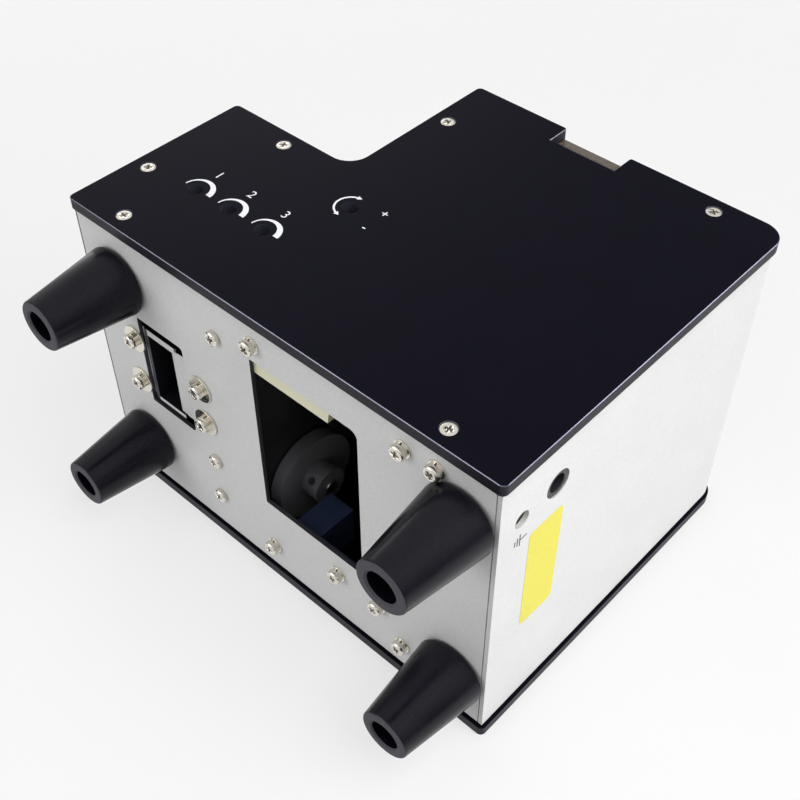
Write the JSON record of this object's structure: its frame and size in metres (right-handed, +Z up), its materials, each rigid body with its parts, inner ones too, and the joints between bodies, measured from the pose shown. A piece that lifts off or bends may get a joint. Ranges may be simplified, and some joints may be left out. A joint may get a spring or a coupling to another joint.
{
  "type": "screw counting feeder",
  "caption": "Table-top screw feeder that lifts loose screws in a drum, sends them along a vibrating rail and counts them into a chute; black sides, silver sheets, tall feet.",
  "frame": {"origin": "centre of the bounding box at the level of the table", "axes": "+X to the side plate with the adjustment holes, +Y to the rear, +Z up"},
  "size_m": [0.125, 0.18, 0.17],
  "materials": {
    "plate_black": "fine textured black coat with a blue cast",
    "silver_coat": "fine grained silver powder coat",
    "foot_rubber": "satin black rubber",
    "nickel_screw": "bright nickel plate",
    "smoked_clear": "smoked clear acrylic",
    "clear": "clear acrylic",
    "cream": "moulded cream plastic",
    "drum_grey": "dark grey moulded plastic",
    "wheel_grey": "grey friction wheel",
    "steel": "ground steel",
    "alu": "plain aluminium",
    "motor_dark": "dark motor case",
    "dark_blue": "dark blue moulding",
    "copper": "enamelled copper winding",
    "board": "green circuit board",
    "trimmer_blue": "blue trimmer case",
    "trimmer_white": "white trimmer rotor",
    "black_plastic": "black moulding",
    "lens_red": "dark red display window",
    "button_green": "green button",
    "button_grey": "dark grey button"
  },
  "bodies": {
    "chassis": {"right_side_plate": "plate_black", "left_side_plate": "plate_black", "bottom_plate": "silver_coat", "front_panel": "silver_coat", "step_cover": "silver_coat", "rear_plate": "silver_coat", "lid_ledges": "black_plastic", "foot_front_right": "foot_rubber", "foot_front_left": "foot_rubber", "foot_rear_right": "foot_rubber", "foot_rear_left": "foot_rubber", "foot_screws": "nickel_screw", "nuts": "nickel_screw", "side_screws": "nickel_screw", "pan_screws": "nickel_screw", "flat_washers": "nickel_screw", "large_washers": "nickel_screw", "spring_washers": "nickel_screw", "drop_chute": "silver_coat", "drop_hood": "clear", "count_sensor": "black_plastic", "bulkhead": "alu", "hopper_bin": "cream", "idler_pin": "steel", "gear_motor": "motor_dark", "motor_bracket": "steel", "power_module": "dark_blue", "gate_bracket": "alu", "vibrator_coil": "copper", "vibrator_base": "alu", "leaf_springs": "steel", "control_board": "board", "board_bracket": "alu", "trimmer_cases": "trimmer_blue", "display_board": "board", "display_module": "black_plastic", "display_lens": "lens_red", "button_switches": "black_plastic", "power_switch_case": "black_plastic", "dc_jack": "black_plastic", "earth_terminal": "nickel_screw"},
    "lid": {"lid": "smoked_clear"},
    "drum": {"drum": "drum_grey"},
    "drive": {"drive_wheel": "wheel_grey", "drive_shaft": "steel"},
    "idler": {"idler_wheel": "wheel_grey"},
    "rail": {"rail_left_bar": "steel", "rail_right_bar": "steel", "rail_carrier": "alu", "rail_catcher": "steel", "vibrator_armature": "steel"},
    "gate_shaft": {"gate_shaft": "steel"},
    "gate_plate": {"gate_plate": "steel"},
    "trimmer_front": {"trimmer_front": "trimmer_white"},
    "trimmer_middle": {"trimmer_middle": "trimmer_white"},
    "trimmer_rear": {"trimmer_rear": "trimmer_white"},
    "start_button": {"start_button": "button_green"},
    "plus_button": {"plus_button": "button_grey"},
    "minus_button": {"minus_button": "button_grey"},
    "power_rocker": {"power_rocker": "black_plastic"}
  },
  "joints": [
    {"name": "lid_lift", "type": "slide", "parent": "chassis", "child": "lid", "axis": [0, 0, 1], "range_m": [0, 0.04]},
    {"name": "drum_spin", "type": "hinge", "parent": "chassis", "child": "drum", "pos_m": [0.005, 0.0045, 0.107], "axis": [0, 1, 0], "continuous": true},
    {"name": "drive_spin", "type": "hinge", "parent": "chassis", "child": "drive", "pos_m": [-0.0315, -0.011, 0.0555], "axis": [0, 1, 0], "continuous": true},
    {"name": "idler_spin", "type": "hinge", "parent": "chassis", "child": "idler", "pos_m": [0.039, -0.011, 0.06235], "axis": [0, 1, 0], "continuous": true},
    {"name": "rail_vibrate", "type": "slide", "parent": "chassis", "child": "rail", "axis": [0, 1, 0], "range_m": [-0.0003, 0.0003], "stiffness_N_per_m": 4000, "deforming": ["leaf_springs"]},
    {"name": "gate_turn", "type": "hinge", "parent": "chassis", "child": "gate_shaft", "pos_m": [0.04, -0.0192, 0.0881], "axis": [1, 0, 0], "range_deg": [-35, 35]},
    {"name": "gate_lift", "type": "slide", "parent": "chassis", "child": "gate_plate", "axis": [0, 0, 1], "range_m": [-0.0018, 0.0018]},
    {"name": "trimmer_front_turn", "type": "hinge", "parent": "chassis", "child": "trimmer_front", "pos_m": [0.055, -0.0626, 0.0614], "axis": [1, 0, 0], "range_deg": [-135, 135]},
    {"name": "trimmer_middle_turn", "type": "hinge", "parent": "chassis", "child": "trimmer_middle", "pos_m": [0.055, -0.047, 0.0614], "axis": [1, 0, 0], "range_deg": [-135, 135]},
    {"name": "trimmer_rear_turn", "type": "hinge", "parent": "chassis", "child": "trimmer_rear", "pos_m": [0.055, -0.0314, 0.0614], "axis": [1, 0, 0], "range_deg": [-135, 135]},
    {"name": "start_button_press", "type": "slide", "parent": "chassis", "child": "start_button", "axis": [0, 1, 0], "range_m": [0, 0.0012], "stiffness_N_per_m": 400},
    {"name": "plus_button_press", "type": "slide", "parent": "chassis", "child": "plus_button", "axis": [0, 1, 0], "range_m": [0, 0.0012], "stiffness_N_per_m": 400},
    {"name": "minus_button_press", "type": "slide", "parent": "chassis", "child": "minus_button", "axis": [0, 1, 0], "range_m": [0, 0.0012], "stiffness_N_per_m": 400},
    {"name": "power_rock", "type": "hinge", "parent": "chassis", "child": "power_rocker", "pos_m": [0.04, -0.0829, 0.081], "axis": [1, 0, 0], "range_deg": [-16, 0]}
  ],
  "couplings": [
    {"joint": "drive_spin", "follows": "drum_spin", "ratio": -2.6955},
    {"joint": "idler_spin", "follows": "drum_spin", "ratio": -4.5823},
    {"joint": "gate_turn", "follows": "gate_lift", "rad_per_m": -333.33}
  ]
}
